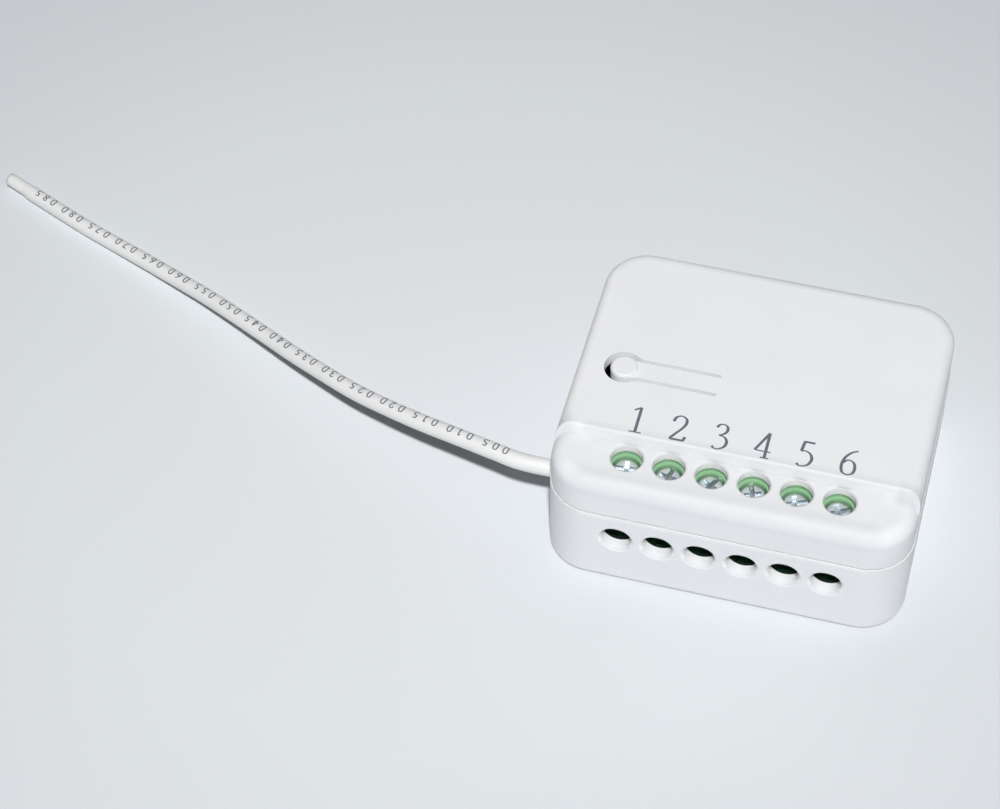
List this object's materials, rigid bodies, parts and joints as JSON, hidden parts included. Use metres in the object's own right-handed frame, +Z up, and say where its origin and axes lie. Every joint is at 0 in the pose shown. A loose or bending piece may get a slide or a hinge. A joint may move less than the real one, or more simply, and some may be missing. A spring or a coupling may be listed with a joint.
{
  "type": "smart relay module",
  "caption": "Flat white in-wall relay module with a row of screw terminals under driver holes, wire holes in its front wall, a sprung push tongue and a thin antenna lead.",
  "frame": {"origin": "centre of the case's underside", "axes": "+Z up through the cover, +X along the terminal row to the right, -Y out of the wire holes"},
  "size_m": [0.1314, 0.0446, 0.0189],
  "materials": {
    "case_white": "gloss moulded",
    "terminal_green": "gloss moulded",
    "zinc_plate": "bright zinc plate",
    "tinned_metal": "tin plate",
    "brass": "bright",
    "board_green": "solder resist",
    "black_plastic": "moulded",
    "copper_winding": "enamelled copper",
    "soft_iron": "plated",
    "yellow_plastic": "moulded",
    "can_sleeve": "shrink sleeve",
    "blue_coating": "dip coating",
    "ceramic": "ceramic",
    "ferrite": "ferrite",
    "lead_sleeve": "shrink sleeve",
    "print_grey": "printed"
  },
  "bodies": {
    "case": {"base_shell": "case_white", "top_cover": "case_white", "main_board": "board_green", "terminal_block": "terminal_green", "contact_bars": "brass", "relay_case": "black_plastic", "relay_base": "black_plastic", "relay_coil": "copper_winding", "relay_core": "soft_iron", "relay_yoke": "soft_iron", "relay_contact": "brass", "relay_pins": "tinned_metal", "film_capacitor": "yellow_plastic", "bulk_capacitor": "can_sleeve", "varistor": "blue_coating", "fuse": "ceramic", "rectifier": "black_plastic", "power_inductor": "ferrite", "radio_board": "board_green", "radio_shield": "tinned_metal", "radio_header": "black_plastic", "switch_body": "black_plastic", "antenna_wire": "copper_winding", "antenna_lead": "lead_sleeve"},
    "button": {"button_tongue": "case_white"},
    "plunger": {"switch_plunger": "black_plastic"},
    "armature": {"relay_armature": "soft_iron"},
    "screw_1": {"terminal_screw_1": "zinc_plate"},
    "screw_2": {"terminal_screw_2": "zinc_plate"},
    "screw_3": {"terminal_screw_3": "zinc_plate"},
    "screw_4": {"terminal_screw_4": "zinc_plate"},
    "screw_5": {"terminal_screw_5": "zinc_plate"},
    "screw_6": {"terminal_screw_6": "zinc_plate"},
    "clamp_1": {"clamp_cage_1": "tinned_metal"},
    "clamp_2": {"clamp_cage_2": "tinned_metal"},
    "clamp_3": {"clamp_cage_3": "tinned_metal"},
    "clamp_4": {"clamp_cage_4": "tinned_metal"},
    "clamp_5": {"clamp_cage_5": "tinned_metal"},
    "clamp_6": {"clamp_cage_6": "tinned_metal"}
  },
  "joints": [
    {"name": "button_press", "type": "hinge", "parent": "case", "child": "button", "pos_m": [-0.0045, -0.00115, 0.01775], "axis": [0, -1, 0], "range_deg": [0, 1.2]},
    {"name": "plunger_press", "type": "slide", "parent": "case", "child": "plunger", "axis": [0, 0, -1], "range_m": [0, 0.00024], "stiffness_N_per_m": 6000},
    {"name": "armature_pull", "type": "hinge", "parent": "case", "child": "armature", "pos_m": [0.01525, 0.00995, 0.01325], "axis": [0, -1, 0], "range_deg": [0, 3], "stiffness_Nm_per_rad": 0.1},
    {"name": "screw_turn_1", "type": "hinge", "parent": "case", "child": "screw_1", "pos_m": [-0.0127, -0.0137, 0.014], "axis": [0, 0, 1], "range_deg": [-1601, 0]},
    {"name": "clamp_rise_1", "type": "slide", "parent": "case", "child": "clamp_1", "axis": [0, 0, 1], "range_m": [0, 0.002]},
    {"name": "screw_turn_2", "type": "hinge", "parent": "case", "child": "screw_2", "pos_m": [-0.00762, -0.0137, 0.014], "axis": [0, 0, 1], "range_deg": [-1601, 0]},
    {"name": "clamp_rise_2", "type": "slide", "parent": "case", "child": "clamp_2", "axis": [0, 0, 1], "range_m": [0, 0.002]},
    {"name": "screw_turn_3", "type": "hinge", "parent": "case", "child": "screw_3", "pos_m": [-0.00254, -0.0137, 0.014], "axis": [0, 0, 1], "range_deg": [-1601, 0]},
    {"name": "clamp_rise_3", "type": "slide", "parent": "case", "child": "clamp_3", "axis": [0, 0, 1], "range_m": [0, 0.002]},
    {"name": "screw_turn_4", "type": "hinge", "parent": "case", "child": "screw_4", "pos_m": [0.00254, -0.0137, 0.014], "axis": [0, 0, 1], "range_deg": [-1601, 0]},
    {"name": "clamp_rise_4", "type": "slide", "parent": "case", "child": "clamp_4", "axis": [0, 0, 1], "range_m": [0, 0.002]},
    {"name": "screw_turn_5", "type": "hinge", "parent": "case", "child": "screw_5", "pos_m": [0.00762, -0.0137, 0.014], "axis": [0, 0, 1], "range_deg": [-1601, 0]},
    {"name": "clamp_rise_5", "type": "slide", "parent": "case", "child": "clamp_5", "axis": [0, 0, 1], "range_m": [0, 0.002]},
    {"name": "screw_turn_6", "type": "hinge", "parent": "case", "child": "screw_6", "pos_m": [0.0127, -0.0137, 0.014], "axis": [0, 0, 1], "range_deg": [-1601, 0]},
    {"name": "clamp_rise_6", "type": "slide", "parent": "case", "child": "clamp_6", "axis": [0, 0, 1], "range_m": [0, 0.002]}
  ],
  "couplings": [
    {"joint": "button_press", "follows": "plunger_press", "rad_per_m": 86.957},
    {"joint": "screw_turn_1", "follows": "clamp_rise_1", "rad_per_m": -13963},
    {"joint": "screw_turn_2", "follows": "clamp_rise_2", "rad_per_m": -13963},
    {"joint": "screw_turn_3", "follows": "clamp_rise_3", "rad_per_m": -13963},
    {"joint": "screw_turn_4", "follows": "clamp_rise_4", "rad_per_m": -13963},
    {"joint": "screw_turn_5", "follows": "clamp_rise_5", "rad_per_m": -13963},
    {"joint": "screw_turn_6", "follows": "clamp_rise_6", "rad_per_m": -13963}
  ]
}
